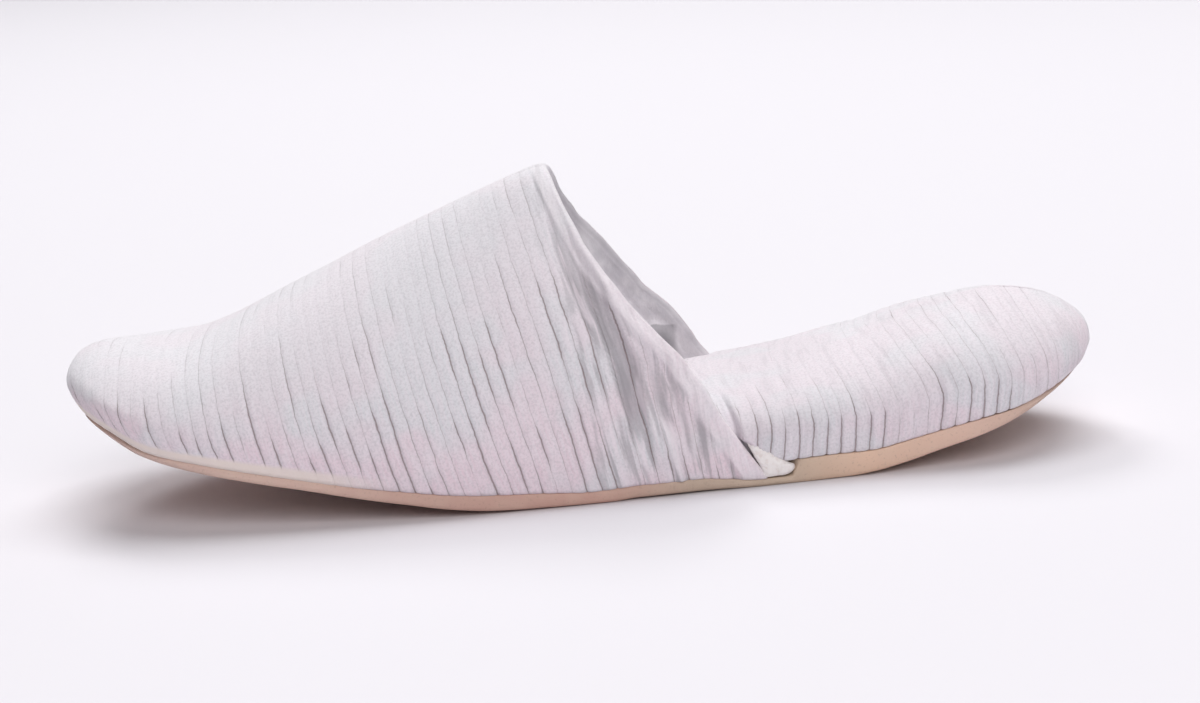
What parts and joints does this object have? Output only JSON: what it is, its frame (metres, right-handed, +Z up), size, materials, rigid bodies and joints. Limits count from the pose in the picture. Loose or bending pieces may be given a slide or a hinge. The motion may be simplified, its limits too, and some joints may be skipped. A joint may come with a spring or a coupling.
{
  "type": "slipper",
  "caption": "Closed-toe mule house slipper in ribbed fabric with a deep open back, a thick padded footbed and a thin flexible tan sole.",
  "frame": {"origin": "on the floor, under the middle of the slipper's box", "axes": "+X from the toe to the heel, +Y across to the wearer's right, +Z up from the floor"},
  "size_m": [0.2646, 0.0918, 0.079],
  "materials": {
    "sole": "matt tan foam rubber, bare on its edge",
    "ribbed_fabric": "soft off-white corded velour over thin foam",
    "footbed_fabric": "soft off-white corded velour over a foam pad",
    "felt": "cream felt"
  },
  "bodies": {
    "root": {"outsole": "sole", "upper": "ribbed_fabric", "footbed": "footbed_fabric", "hem_end_left": "felt", "hem_end_right": "felt"}
  },
  "joints": []
}
